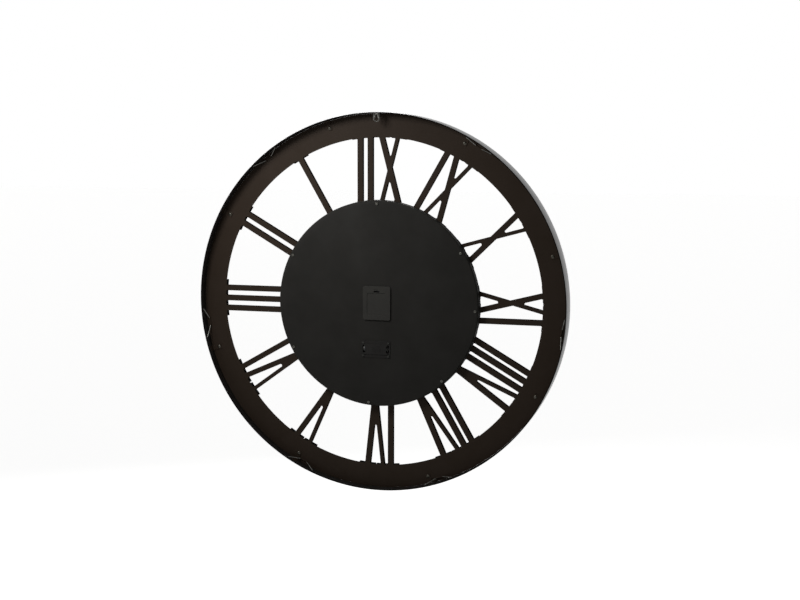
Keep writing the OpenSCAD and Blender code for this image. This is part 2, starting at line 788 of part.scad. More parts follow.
module movement_back_case() {
    color([0.15, 0.15, 0.16]) difference() {
        slab(case_back, case_split - case_back) rounded_rect(case_w, case_w, 4);
        slab(case_back + case_wall, case_split) rounded_rect(case_in, case_in, 4 - case_wall);
        turned(set_at) zone(0, 1.8 + run_gap, 0, case_split);
        // round recess that marks the back, and a ring of four vent slots
        slab(case_back - lap, lap + 0.4) translate([-8, 6]) circle(11);
        for (x = [-18:6:0]) slab(case_back - lap, lap + case_wall + 1) translate([x, -19])
            rounded_rect(2, 9, 0.9);
    }
}

module train_bridge() {
    color([0.9, 0.9, 0.88]) layer(bridge_layer) difference() {
        union() {
            polygon([bridge_posts[0], bridge_posts[2], bridge_posts[3], [0, -3], [3, 0],
                     bridge_posts[1]]);
            for (p = bridge_posts) translate(p) circle(post_r + 1.2);
            circle(3);
        }
        for (p = bridge_posts) translate(p) circle(stake_r + touch);
        for (p = [[0, 0], third_at, second_at, fifth_at, rotor_at])
            translate(p) circle(pivot_r + run_gap);
    }
}

// ---------------------------------------------------------------- motor and board

coil_z = 21;
coil_len = 15;
coil_x = rotor_at.x - coil_len / 2;
coil_r = 2.9;
core_w = 2.4;
core_t = 0.9;
core_mid = 3.3;                    // height of the core above the front floor
core_layer = [core_mid - core_t / 2, core_mid + core_t / 2];
flange_t = 0.8;
pole_w = 7.2;                      // width of the stator bar round the rotor
leg_w = 5;

// Soft-iron stator: a bar with the rotor hole and the core through the coil, in one frame
module stator() {
    frame_w = 2 * post_pitch + leg_w;
    color([0.6, 0.6, 0.62]) layer(core_layer) difference() {
        translate([rotor_at.x - frame_w / 2, rotor_at.y - pole_w / 2])
            square([frame_w, coil_z + core_w / 2 - rotor_at.y + pole_w / 2]);
        translate([rotor_at.x - frame_w / 2 + leg_w, rotor_at.y + pole_w / 2])
            square([frame_w - 2 * leg_w, coil_z - core_w / 2 - rotor_at.y - pole_w / 2]);
        translate(rotor_at) {
            circle(magnet_r + 0.35);
            // notches that narrow the bridges of iron above and below the rotor
            for (y = [-1, 1]) translate([0, y * pole_w / 2]) circle(0.5);
        }
        for (p = motor_posts) translate(p) circle(post_r + touch);
    }
}

module on_coil_axis(x) {
    on_axis() translate([x, -floor_depth + core_mid, coil_z]) rotate([0, 90, 0]) children();
}

module coil_bobbin() {
    color([0.85, 0.85, 0.8]) difference() {
        union() {
            on_coil_axis(coil_x) cylinder(r = 1.9, h = coil_len);
            for (x = [coil_x, coil_x + coil_len - flange_t])
                on_coil_axis(x) cylinder(r = coil_r + 0.2, h = flange_t);
        }
        layer(deeper(core_layer, touch)) translate([coil_x - 1, coil_z - core_w / 2 - touch])
            square([coil_len + 2, core_w + 2 * touch]);
    }
}

module coil_winding() {
    color([0.72, 0.4, 0.2]) difference() {
        on_coil_axis(coil_x + flange_t + touch)
            cylinder(r = coil_r, h = coil_len - 2 * flange_t - 2 * touch);
        on_coil_axis(coil_x) cylinder(r = 1.9 + touch, h = coil_len);
    }
}

board_layer = [2.5, 3.3];
board_x = [15.5, 25.5];
board_z = [6, 25];
board_pins = [[17.2, 8], [23.8, 23]];

// Printed board on two pins, with its potted chip and crystal can
module circuit_board() {
    color([0.2, 0.42, 0.25]) layer(board_layer) difference() {
        translate([board_x[0], board_z[0]])
            square([board_x[1] - board_x[0], board_z[1] - board_z[0]]);
        for (p = board_pins) translate(p) circle(stake_r + touch);
    }
    color([0.1, 0.1, 0.1]) layer([board_layer[1] - touch, board_layer[1] + 1.2])
        translate([20.5, 13]) circle(2.6);
    color([0.8, 0.8, 0.8]) layer([board_layer[1] - touch, board_layer[1] + 2])
        translate([20, 18.5]) rounded_rect(6.4, 2.2, 1);
}

// ---------------------------------------------------------------- fixing to the plate

stem_flange_r = 6;
nut_t = 2.5;
brass_t = 0.7;
stem_end = plate_front + brass_t + nut_t + 4;
stem_bore = pipe_r + run_gap;

module threaded_stem() {
    color([0.8, 0.68, 0.35]) turned() difference() {
        union() {
            zone(0, stem_flange_r, floor_depth, case_front);
            zone(0, stem_r, floor_depth, stem_end);
        }
        zone(0, stem_bore, 0, rim_depth);
    }
}

module rubber_washer() {
    color([0.08, 0.08, 0.08]) turned()
        zone(stem_r + touch, 11, case_front, plate_recess);
}

module brass_washer() {
    color([0.8, 0.68, 0.35]) turned()
        zone(stem_r + touch, 7.5, plate_front, plate_front + brass_t);
}

module hex_nut() {
    color([0.82, 0.7, 0.36]) slab(plate_front + brass_t, nut_t) difference() {
        circle(12 / sqrt(3), $fn = 6);
        circle(stem_r + touch);
    }
}

// ---------------------------------------------------------------- hands

hour_hand_at = stem_end + 0.8;
hour_pipe_end = hour_hand_at + hand_t + 0.4;
minute_hand_at = hour_hand_at + hand_t + 1.6;
hand_nut_at = minute_hand_at + hand_t;
hour_angle = 30 * show_hour + show_minute / 2;
minute_angle = 6 * show_minute;

// A spade hand of length len: boss, tapering stem, pierced spade and counterpoise tail
module spade_hand(len, boss_r, stem_w, spade_w, tail, bore_r) {
    neck = len - 2.3 * spade_w;
    lobe_r = spade_w * 0.3;
    difference() {
        union() {
            circle(boss_r);
            polygon([[-stem_w / 2, -tail], [stem_w / 2, -tail],
                     [stem_w * 0.32, neck], [-stem_w * 0.32, neck]]);
            translate([0, -tail]) circle(stem_w * 0.75);
            for (x = [-1, 1]) translate([x * (spade_w / 2 - lobe_r), neck + lobe_r]) circle(lobe_r);
            polygon([[-spade_w / 2, neck + lobe_r], [0, neck - lobe_r * 0.4],
                     [spade_w / 2, neck + lobe_r], [spade_w * 0.17, neck + spade_w * 1.15],
                     [0.5, len], [-0.5, len], [-spade_w * 0.17, neck + spade_w * 1.15]]);
        }
        circle(bore_r);
        translate([0, neck + lobe_r * 1.5]) circle(spade_w * 0.16);
    }
}

module hour_hand() {
    color([0.08, 0.08, 0.08]) slab(hour_hand_at, hand_t) clockwise(hour_angle)
        spade_hand(hour_len, 11, 8, 21, 24, pipe_r + touch);
}

module minute_hand() {
    color([0.08, 0.08, 0.08]) slab(minute_hand_at, hand_t) clockwise(minute_angle)
        spade_hand(minute_len, 9, 7, 15, 38, arbor_r + touch);
}

module hand_nut() {
    color([0.1, 0.1, 0.1]) turned() difference() {
        union() {
            zone(0, 4, hand_nut_at, hand_nut_at + 1.6);
            intersection() {
                translate([0, hand_nut_at + 1.6 - 0.8]) circle(4);
                zone(0, 4, hand_nut_at + 1.6 - touch, hand_nut_at + 6);
            }
        }
        zone(0, arbor_r + touch, 0, hand_nut_at + 1.1);
    }
}

// ---------------------------------------------------------------- battery box

module at_box() { translate([box_x, -box_drop]) children(); }

module battery_tray() {
    color([0.14, 0.14, 0.14]) difference() {
        union() {
            slab(flange_at, tray_flange_t) at_box() rounded_rect(tray_flange_w, tray_flange_h, 3);
            slab(flange_at, tray_deep - flange_at) at_box() square([tray_w, tray_h], center = true);
        }
        slab(flange_at - lap, tray_deep - tray_wall - flange_at + lap) at_box()
            square([tray_w - 2 * tray_wall, tray_h - 2 * tray_wall], center = true);
        slab(flange_at - lap, tray_flange_t + 2 * lap)
            for (p = tray_screw_places) translate(p) circle(screw_r + touch);
    }
}

module tray_screws() {
    color([0.75, 0.75, 0.72]) for (p = tray_screw_places) pan_head_screw(p, flange_at, 6, tray_head_r);
}

module battery_cell() {
    color([0.75, 0.6, 0.3]) on_axis()
        translate([box_x - tray_w / 2 + tray_wall + cell_gap_neg, -cell_at, -box_drop]) rotate([0, 90, 0]) {
            cylinder(r = cell_d / 2, h = cell_len - 1.2);
            cylinder(r = 2.7, h = cell_len);
        }
}

// Lift-off lid with a skirt, grip ribs and a finger notch at each end
module battery_lid() {
    inside_h = tray_h - 2 * tray_wall - 0.6;
    skirt_w = lid_w - lid_notch.x - 1;
    color([0.17, 0.17, 0.17]) difference() {
        union() {
            slab(flange_at - lid_t, lid_t) at_box() rounded_rect(lid_w, lid_h, 1.5);
            slab(flange_at - lap, lap + lid_skirt) at_box() square([skirt_w, inside_h], center = true);
            for (x = [-8:4:8]) slab(flange_at - lid_t - 0.4, 0.4 + lap) at_box() translate([x, 0])
                square([1.2, 11], center = true);
        }
        slab(flange_at - lap, lap + lid_skirt + 1) at_box()
            square([skirt_w - 2, inside_h - 2], center = true);
        for (side = [-1, 1]) slab(0, pan_recess + 2) at_box() translate([side * lid_w / 2, 0])
            rounded_rect(lid_notch.x, lid_notch.y, 1.5);
    }
}

spring_coil_r = 4.4;
spring_tip_r = 2.4;
spring_wire_r = 0.4;
spring_turns = 3;

// Plate and conical spring at the negative end of the cell
module spring_contact() {
    free_len = cell_gap_neg - 0.3 - 2 * spring_wire_r;
    color([0.75, 0.75, 0.75]) on_axis()
        translate([box_x - tray_w / 2 + tray_wall, -cell_at, -box_drop]) rotate([0, 90, 0]) {
            translate([-5.5, -5.5, 0]) cube([11, 11, 0.3]);
            bent_wire([for (t = [0:20:360 * spring_turns])
                let (k = t / 360 / spring_turns)
                concat(polar(spring_coil_r + (spring_tip_r - spring_coil_r) * k, t),
                       0.3 + spring_wire_r * 0.9 + free_len * k)], spring_wire_r, [0, 0, 1]);
        }
}

module plate_contact() {
    x1 = box_x + tray_w / 2 - tray_wall;
    color([0.75, 0.75, 0.75]) on_axis() translate([x1 - 0.4, -cell_at - 5, -box_drop - 5])
        cube([0.4, 10, 10]);
}

lead_r = 0.6;
lead_at = plate_recess - 8;          // depth at which the leads leave the box

// Leads from the two ends of the battery box to the notch in the movement case, which
// leave the box on side -1 or 1
function lead_points(side) =
    let (box_top = -box_drop + tray_h / 2 + lead_r + 0.1, notch = -case_w / 2)
    [[box_x + side * 24, -lead_at, box_top], [box_x + side * 12, -lead_at, box_top + 2],
     [box_x + side * 3, -lead_at - 1, box_top + 9], [side, -case_split - 1.1, notch - 12],
     [side, -case_split - 1.1, notch + 2]];

module red_lead() { color([0.7, 0.1, 0.1]) on_axis() bent_wire(lead_points(1), lead_r, [0, 1, 0]); }
module black_lead() { color([0.05, 0.05, 0.05]) on_axis() bent_wire(lead_points(-1), lead_r, [0, 1, 0]); }

// ---------------------------------------------------------------- nodes

rim_band();
numeral_plate();
numeral(1);  // numeral_i
numeral(2);  // numeral_ii
numeral(3);  // numeral_iii
numeral(4);  // numeral_iv
numeral(5);  // numeral_v
numeral(6);  // numeral_vi
numeral(7);  // numeral_vii
numeral(8);  // numeral_viii
numeral(9);  // numeral_ix
numeral(10);  // numeral_x
numeral(11);  // numeral_xi
numeral(12);  // numeral_xii
plate_clips();
clip_rivets();
retaining_springs();
hanger_bracket();
rear_pan();
pan_standoffs();
pan_screws();
access_cover();
movement_front_case();
movement_back_case();
threaded_stem();
train_bridge();
circuit_board();
stator();
coil_bobbin();
coil_winding();
rotor_magnet();
rotor_pinion();
fifth_wheel();
second_wheel();
third_wheel();
centre_wheel();
minute_arbor();
motion_wheel();
hour_wheel();
set_knob();
rubber_washer();
brass_washer();
hex_nut();
hour_hand();
minute_hand();
hand_nut();
battery_tray();
tray_screws();
battery_cell();
battery_lid();
spring_contact();
plate_contact();
red_lead();
black_lead();
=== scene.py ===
import json
import math
import random

import bpy
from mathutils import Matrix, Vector

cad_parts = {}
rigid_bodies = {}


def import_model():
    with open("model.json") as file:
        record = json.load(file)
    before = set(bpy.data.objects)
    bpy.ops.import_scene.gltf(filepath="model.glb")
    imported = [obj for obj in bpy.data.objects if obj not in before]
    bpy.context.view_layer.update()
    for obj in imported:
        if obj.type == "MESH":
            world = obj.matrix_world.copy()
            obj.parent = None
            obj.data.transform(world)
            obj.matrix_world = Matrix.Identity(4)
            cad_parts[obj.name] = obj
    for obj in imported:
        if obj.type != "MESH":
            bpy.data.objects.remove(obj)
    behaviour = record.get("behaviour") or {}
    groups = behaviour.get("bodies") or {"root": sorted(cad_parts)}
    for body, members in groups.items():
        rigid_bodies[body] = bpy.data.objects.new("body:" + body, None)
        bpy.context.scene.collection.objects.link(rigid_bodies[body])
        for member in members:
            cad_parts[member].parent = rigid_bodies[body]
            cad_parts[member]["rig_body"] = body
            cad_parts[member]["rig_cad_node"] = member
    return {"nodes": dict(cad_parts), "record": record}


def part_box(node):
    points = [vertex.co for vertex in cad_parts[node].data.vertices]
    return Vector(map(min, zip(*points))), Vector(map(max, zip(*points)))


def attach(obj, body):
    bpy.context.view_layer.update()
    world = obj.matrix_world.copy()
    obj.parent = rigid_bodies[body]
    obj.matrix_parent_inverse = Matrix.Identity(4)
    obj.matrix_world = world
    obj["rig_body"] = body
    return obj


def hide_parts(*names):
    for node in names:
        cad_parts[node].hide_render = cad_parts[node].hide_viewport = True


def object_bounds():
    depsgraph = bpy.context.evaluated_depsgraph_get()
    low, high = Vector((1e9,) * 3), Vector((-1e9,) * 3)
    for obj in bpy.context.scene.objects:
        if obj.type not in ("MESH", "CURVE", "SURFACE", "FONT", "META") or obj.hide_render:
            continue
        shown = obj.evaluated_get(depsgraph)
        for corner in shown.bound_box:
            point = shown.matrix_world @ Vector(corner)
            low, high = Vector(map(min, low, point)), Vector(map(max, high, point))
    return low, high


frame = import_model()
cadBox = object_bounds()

mm = 0.001
nodes = frame["nodes"]
record = frame["record"]
bodyOfNode = {name: body for body, names in record["behaviour"]["bodies"].items() for name in names}
numeralNames = [name for name in nodes if name.startswith("numeral_") and name != "numeral_plate"]

rimLow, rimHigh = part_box("rim_band")
axisAt = (rimLow + rimHigh) / 2
axisAt.y = 0   # the clock's axis, where it meets the wall
rimRadius = (rimHigh.x - rimLow.x) / 2
rimFront = rimLow.y
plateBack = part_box("numeral_plate")[1].y


# An sRGB hex colour as the linear one that a socket takes
def linear(hexColour):
    channels = [int(hexColour[i:i + 2], 16) / 255 for i in (1, 3, 5)]
    return tuple(c / 12.92 if c <= 0.04045 else ((c + 0.055) / 1.055) ** 2.4 for c in channels) + (1,)


# Settings are a node's own properties or its sockets; "stops" are a ramp's (place, hex colour) pairs
def setNode(tree, node, settings=None, links=None):
    for key, value in (settings or {}).items():
        if key == "stops":
            elements = node.color_ramp.elements
            while len(elements) < len(value):
                elements.new(0.5)
            for element, (position, hexColour) in zip(elements, value):
                element.position = position
                element.color = linear(hexColour)
        elif isinstance(key, str) and hasattr(node, key):
            setattr(node, key, value)
        else:
            node.inputs[key].default_value = value
    for key, source in (links or {}).items():
        tree.links.new(source, node.inputs[key])
    return node


def addNode(tree, kind, settings=None, links=None):
    return setNode(tree, tree.nodes.new(kind), settings, links)


def newMaterial(name):
    material = bpy.data.materials.new(name)
    material.use_nodes = True
    return material, material.node_tree, material.node_tree.nodes["Principled BSDF"]


coats = {
    "brownPowderCoat": {"dark": "#2c231b", "light": "#312821", "worn": "#564a3f",
                        "shine": 0.1, "rough": 0.55, "grainMm": 1.3, "lacquer": 0},
    "blackNumeralCoat": {"dark": "#161412", "light": "#1c1917", "worn": "#3a342f",
                         "shine": 0.2, "rough": 0.46, "grainMm": 1.1, "lacquer": 0},
    # Painted shade: a dead-flat black for faces that lie in shade, the sides of numerals and plate and the
    # rim behind the plate
    "flatBlackEdgeCoat": {"dark": "#0b0a09", "light": "#100f0e", "worn": "#2a2622",
                          "shine": 0.0, "rough": 0.8, "grainMm": 0.8, "lacquer": 0},
    "rimPowderCoat": {"dark": "#100e0c", "light": "#161311", "worn": "#413a33",
                      "shine": 0.45, "rough": 0.42, "grainMm": 1.5, "lacquer": 0.5},
    "panPowderCoat": {"dark": "#2b2a28", "light": "#302f2d", "worn": "#4b4a48",
                      "shine": 0.03, "rough": 0.58, "grainMm": 1.0, "lacquer": 0},
    "coverPowderCoat": {"dark": "#343331", "light": "#393835", "worn": "#55544f",
                        "shine": 0.08, "rough": 0.5, "grainMm": 0.9, "lacquer": 0},
    "handPowderCoat": {"dark": "#121212", "light": "#181716", "worn": "#45423e",
                       "shine": 0.3, "rough": 0.38, "grainMm": 0.9, "lacquer": 0},
}


# Powder coat on steel, sprayed and baked: an even satin skin with faint clouding, an
# orange-peel grain that softens every highlight, and edges rubbed a little lighter.
# The grain is drawn coarser than the real one, so that it shows.
def powderCoat(name, look):
    material, tree, shader = newMaterial(name)
    coords = addNode(tree, "ShaderNodeTexCoord").outputs["Object"]
    clouds = addNode(tree, "ShaderNodeTexNoise",
                     {"Scale": 1 / (60 * mm), "Detail": 9, "Roughness": 0.6}, {"Vector": coords})
    skin = addNode(tree, "ShaderNodeValToRGB", {"stops": [(0.32, look["dark"]), (0.7, look["light"])]},
                   {"Fac": clouds.outputs["Fac"]})
    rounded = addNode(tree, "ShaderNodeBevel", {"samples": 4, "Radius": 0.8 * mm})
    flat = addNode(tree, "ShaderNodeNewGeometry")
    facing = addNode(tree, "ShaderNodeVectorMath", {"operation": "DOT_PRODUCT"},
                     {0: rounded.outputs["Normal"], 1: flat.outputs["Normal"]})
    edge = addNode(tree, "ShaderNodeMapRange", {"From Min": 0.96, "From Max": 0.8, "To Max": 0.7},
                   {"Value": facing.outputs["Value"]})   # 0 on a flat, up to 0.7 on a sharp edge
    patches = addNode(tree, "ShaderNodeTexNoise", {"Scale": 1 / (5 * mm), "Detail": 3},
                      {"Vector": coords})
    rub = addNode(tree, "ShaderNodeMath", {"operation": "MULTIPLY"},
                  {0: edge.outputs["Result"], 1: patches.outputs["Fac"]})
    colour = addNode(tree, "ShaderNodeMix", {"data_type": "RGBA", 7: linear(look["worn"])},
                     {"Factor": rub.outputs["Value"], 6: skin.outputs["Color"]})
    scuffs = addNode(tree, "ShaderNodeTexNoise",
                     {"Scale": 1 / (16 * mm), "Detail": 5, "Roughness": 0.65}, {"Vector": coords})
    dull = addNode(tree, "ShaderNodeMapRange",
                   {"From Min": 0.3, "From Max": 0.75,
                    "To Min": look["rough"] - 0.03, "To Max": look["rough"] + 0.05},
                   {"Value": scuffs.outputs["Fac"]})
    peel = addNode(tree, "ShaderNodeTexNoise", {"Scale": 1 / (look["grainMm"] * mm), "Detail": 2},
                   {"Vector": coords})
    bump = addNode(tree, "ShaderNodeBump", {"Distance": 0.06 * mm, "Strength": 0.45},
                   {"Height": peel.outputs["Fac"]})
    setNode(tree, shader,
            {"IOR": 1.5, "Specular IOR Level": look["shine"],
             "Coat Weight": look["lacquer"], "Coat Roughness": 0.3},
            {"Base Color": colour.outputs[2], "Roughness": dull.outputs["Result"],
             "Normal": bump.outputs["Normal"]})
    return material


steels = {
    "rolledZincSteel": {"tint": "#5a5955", "shade": "#4c4b48", "rough": 0.42, "lines": True},
    "drawnSpringSteel": {"tint": "#6e6d69", "shade": "#565551", "rough": 0.32, "lines": False},
    "zincScrewSteel": {"tint": "#66655f", "shade": "#4d4c48", "rough": 0.34, "lines": False},
    "smokyRivetSteel": {"tint": "#4c4a44", "shade": "#37352f", "rough": 0.4, "lines": False},
    "blackZincScrewSteel": {"tint": "#3b3b39", "shade": "#2e2e2c", "rough": 0.4, "lines": False},
}


# Zinc-plated steel: a grey metal, clouded by the plating and unevenly dull. Sheet that was
# rolled also has fine drawn lines along X, set wider apart than the real ones so that they show.
def zincSteel(name, look):
    material, tree, shader = newMaterial(name)
    coords = addNode(tree, "ShaderNodeTexCoord").outputs["Object"]
    clouds = addNode(tree, "ShaderNodeTexNoise", {"Scale": 1 / (9 * mm), "Detail": 4},
                     {"Vector": coords})
    colour = addNode(tree, "ShaderNodeValToRGB", {"stops": [(0.3, look["tint"]), (0.75, look["shade"])]},
                     {"Fac": clouds.outputs["Fac"]})
    wear = addNode(tree, "ShaderNodeTexNoise", {"Scale": 1 / (3 * mm), "Detail": 3},
                   {"Vector": coords})
    dull = addNode(tree, "ShaderNodeMapRange",
                   {"From Min": 0.3, "From Max": 0.8,
                    "To Min": look["rough"] - 0.06, "To Max": look["rough"] + 0.12},
                   {"Value": wear.outputs["Fac"]})
    setNode(tree, shader, {"Metallic": 1},
            {"Base Color": colour.outputs["Color"], "Roughness": dull.outputs["Result"]})
    if look["lines"]:
        stretched = addNode(tree, "ShaderNodeMapping", {"Scale": (0.04, 1, 1)}, {"Vector": coords})
        drawn = addNode(tree, "ShaderNodeTexNoise", {"Scale": 1 / (0.35 * mm), "Detail": 2},
                        {"Vector": stretched.outputs["Vector"]})
        bump = addNode(tree, "ShaderNodeBump", {"Distance": 0.02 * mm, "Strength": 0.3},
                       {"Height": drawn.outputs["Fac"]})
        setNode(tree, shader, links={"Normal": bump.outputs["Normal"]})
    return material


plastics = {
    "blackAbs": {"tint": "#151515", "shade": "#1b1b1a", "rough": 0.48, "grainMm": 0.6, "shine": 0.2},
    "mattBlackAbs": {"tint": "#2a2928", "shade": "#2e2d2c", "rough": 0.62, "grainMm": 0.6, "shine": 0.05},
    "whitePom": {"tint": "#e6e2d6", "shade": "#d8d3c4", "rough": 0.4, "grainMm": 1.2, "shine": 0.5},
    "blackRubber": {"tint": "#121212", "shade": "#191918", "rough": 0.85, "grainMm": 0.4, "shine": 0.5},
    "redPvc": {"tint": "#a3140f", "shade": "#8c110d", "rough": 0.38, "grainMm": 1.5, "shine": 0.5},
    "blackPvc": {"tint": "#171717", "shade": "#1e1e1e", "rough": 0.38, "grainMm": 1.5, "shine": 0.5},
    "groundFerrite": {"tint": "#3a3a3d", "shade": "#2c2c2f", "rough": 0.5, "grainMm": 0.3, "shine": 0.5},
}


# Plastic, rubber or ferrite pressed in a mould: one even colour, and a fine grain from the
# mould's wall that keeps it matt
def mouldedPlastic(name, look):
    material, tree, shader = newMaterial(name)
    coords = addNode(tree, "ShaderNodeTexCoord").outputs["Object"]
    clouds = addNode(tree, "ShaderNodeTexNoise", {"Scale": 1 / (25 * mm), "Detail": 3},
                     {"Vector": coords})
    colour = addNode(tree, "ShaderNodeValToRGB", {"stops": [(0.3, look["tint"]), (0.75, look["shade"])]},
                     {"Fac": clouds.outputs["Fac"]})
    wear = addNode(tree, "ShaderNodeTexNoise", {"Scale": 1 / (6 * mm), "Detail": 4},
                   {"Vector": coords})
    dull = addNode(tree, "ShaderNodeMapRange",
                   {"From Min": 0.3, "From Max": 0.8,
                    "To Min": look["rough"] - 0.05, "To Max": look["rough"] + 0.08},
                   {"Value": wear.outputs["Fac"]})
    grain = addNode(tree, "ShaderNodeTexNoise", {"Scale": 1 / (look["grainMm"] * mm), "Detail": 2},
                    {"Vector": coords})
    bump = addNode(tree, "ShaderNodeBump", {"Distance": 0.03 * mm, "Strength": 0.4},
                   {"Height": grain.outputs["Fac"]})
    setNode(tree, shader, {"Specular IOR Level": look["shine"]},
            {"Base Color": colour.outputs["Color"], "Roughness": dull.outputs["Result"],
             "Normal": bump.outputs["Normal"]})
    return material


waveScale = math.pi / 10   # a wave texture's scale for bands one metre apart
brassLook = {"tint": "#c29a4e", "shade": "#8f6d33", "rough": 0.3, "ringMm": 1.0}


# Turned brass, left bare: warm metal, a little dull, with rings from the tool along Y
def turnedBrass(name, look):
    material, tree, shader = newMaterial(name)
    coords = addNode(tree, "ShaderNodeTexCoord").outputs["Object"]
    clouds = addNode(tree, "ShaderNodeTexNoise", {"Scale": 1 / (4 * mm), "Detail": 4},
                     {"Vector": coords})
    colour = addNode(tree, "ShaderNodeValToRGB", {"stops": [(0.3, look["tint"]), (0.75, look["shade"])]},
                     {"Fac": clouds.outputs["Fac"]})
    rings = addNode(tree, "ShaderNodeTexWave",
                    {"bands_direction": "Y", "Scale": waveScale / (look["ringMm"] * mm), "Distortion": 0.4},
                    {"Vector": coords})
    bump = addNode(tree, "ShaderNodeBump", {"Distance": 0.02 * mm, "Strength": 0.25},
                   {"Height": rings.outputs["Fac"]})
    setNode(tree, shader, {"Metallic": 1, "Roughness": look["rough"]},
            {"Base Color": colour.outputs["Color"], "Normal": bump.outputs["Normal"]})
    return material


windingLook = {"gap": "#5a2710", "wire": "#b5632c", "metal": 0.85, "rough": 0.28, "turnMm": 0.94}


# Enamelled copper wire wound across the bobbin in close turns, drawn coarser than they are
def enamelledWinding(name, look):
    material, tree, shader = newMaterial(name)
    coords = addNode(tree, "ShaderNodeTexCoord").outputs["Object"]
    turns = addNode(tree, "ShaderNodeTexWave",
                    {"bands_direction": "X", "Scale": waveScale / (look["turnMm"] * mm), "Distortion": 0.6},
                    {"Vector": coords})
    colour = addNode(tree, "ShaderNodeValToRGB", {"stops": [(0.2, look["gap"]), (0.7, look["wire"])]},
                     {"Fac": turns.outputs["Fac"]})
    bump = addNode(tree, "ShaderNodeBump", {"Distance": 0.1 * mm, "Strength": 0.8},
                   {"Height": turns.outputs["Fac"]})
    setNode(tree, shader, {"Metallic": look["metal"], "Roughness": look["rough"]},
            {"Base Color": colour.outputs["Color"], "Normal": bump.outputs["Normal"]})
    return material


boardLook = {"resist": "#1d4a2c", "paler": "#235535", "track": "#3b7a4a", "rough": 0.35, "trackMm": 3}


# Glass-fibre board under green solder resist, with the tracks showing paler through it
def solderResist(name, look):
    material, tree, shader = newMaterial(name)
    coords = addNode(tree, "ShaderNodeTexCoord").outputs["Object"]
    tracks = addNode(tree, "ShaderNodeTexBrick",
                     {"Scale": 0.5 / (look["trackMm"] * mm), "Mortar Size": 0.03,
                      "Color1": linear(look["resist"]), "Color2": linear(look["paler"]),
                      "Mortar": linear(look["track"])},
                     {"Vector": coords})   # a brick is half a unit long
    setNode(tree, shader, {"Roughness": look["rough"]}, {"Base Color": tracks.outputs["Color"]})
    return material


wrapLook = {"can": "#777672", "body": "#1d1f23", "band": "#2f3338", "rough": 0.4, "shine": 0.2}


# Plain shrink wrap on a dry cell, glossy and dark, with a bare can at both ends
def cellWrap(name, look):
    material, tree, shader = newMaterial(name)
    low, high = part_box("battery_cell")
    coords = addNode(tree, "ShaderNodeTexCoord").outputs["Object"]
    split = addNode(tree, "ShaderNodeSeparateXYZ", links={"Vector": coords})
    along = addNode(tree, "ShaderNodeMapRange", {"From Min": low.x, "From Max": high.x},
                    {"Value": split.outputs["X"]})
    bands = addNode(tree, "ShaderNodeValToRGB",
                    {"stops": [(0.03, look["can"]), (0.04, look["body"]), (0.7, look["body"]),
                               (0.71, look["band"]), (0.95, look["band"]), (0.965, look["can"])]},
                    {"Fac": along.outputs["Result"]})
    setNode(tree, shader, {"Roughness": look["rough"], "Specular IOR Level": look["shine"]},
            {"Base Color": bands.outputs["Color"]})
    return material


materials = {
    **{name: powderCoat(name, look) for name, look in coats.items()},
    **{name: zincSteel(name, look) for name, look in steels.items()},
    **{name: mouldedPlastic(name, look) for name, look in plastics.items()},
    "turnedBrass": turnedBrass("turnedBrass", brassLook),
    "enamelledWinding": enamelledWinding("enamelledWinding", windingLook),
    "solderResist": solderResist("solderResist", boardLook),
    "cellWrap": cellWrap("cellWrap", wrapLook),
}
nodesByMaterial = {
    "brownPowderCoat": ["numeral_plate", "plate_clips"],
    "blackNumeralCoat": numeralNames,
    "rimPowderCoat": ["rim_band"],
    "panPowderCoat": ["rear_pan"],
    "coverPowderCoat": ["access_cover"],
    "handPowderCoat": ["hour_hand", "minute_hand", "hand_nut"],
    "rolledZincSteel": ["hanger_bracket", "pan_standoffs", "stator", "plate_contact"],
    "drawnSpringSteel": ["retaining_springs", "spring_contact"],
    "zincScrewSteel": ["pan_screws"],
    "smokyRivetSteel": ["clip_rivets"],
    "blackZincScrewSteel": ["tray_screws"],
    "blackAbs": ["movement_front_case", "movement_back_case"],
    "mattBlackAbs": ["battery_tray", "battery_lid"],
    "whitePom": ["train_bridge", "coil_bobbin", "rotor_pinion", "fifth_wheel", "second_wheel",
                 "third_wheel", "centre_wheel", "motion_wheel", "hour_wheel", "set_knob"],
    "blackRubber": ["rubber_washer"],
    "redPvc": ["red_lead"],
    "blackPvc": ["black_lead"],
    "groundFerrite": ["rotor_magnet"],
    "turnedBrass": ["threaded_stem", "brass_washer", "hex_nut", "minute_arbor"],
    "enamelledWinding": ["coil_winding"],
    "solderResist": ["circuit_board"],
    "cellWrap": ["battery_cell"],
}
materialOf = {node: materials[name] for name, group in nodesByMaterial.items() for node in group}


def coat(piece, material):
    piece.data.materials.clear()
    piece.data.materials.append(material)


for node, material in materialOf.items():
    coat(nodes[node], material)
print("materials done")


def deselect():
    if bpy.context.object and bpy.context.object.mode != "OBJECT":
        bpy.ops.object.mode_set(mode="OBJECT")
    bpy.ops.object.select_all(action="DESELECT")


def only(piece):
    deselect()
    piece.hide_set(False)
    piece.select_set(True)
    bpy.context.view_layer.objects.active = piece


def selectVertices(piece, test):
    bpy.ops.object.mode_set(mode="OBJECT")
    bpy.context.tool_settings.mesh_select_mode = (True, False, False)
    for edge in piece.data.edges:
        edge.select = False
    for face in piece.data.polygons:
        face.select = False
    for vertex in piece.data.vertices:
        vertex.select = test(vertex.co)
    bpy.ops.object.mode_set(mode="EDIT")


def applyModifier(piece, kind, **settings):
    only(piece)
    modifier = piece.modifiers.new(kind.title(), kind)
    for key, value in settings.items():
        setattr(modifier, key, value)
    bpy.ops.object.modifier_apply(modifier=modifier.name)


# Moves a piece's place, turn and size into its mesh, so that it sits at the origin
def applyPlace(piece):
    only(piece)
    bpy.ops.object.transform_apply(location=True, rotation=True, scale=True)


def smooth(piece, degrees=35):
    only(piece)
    bpy.ops.object.shade_smooth_by_angle(angle=math.radians(degrees))


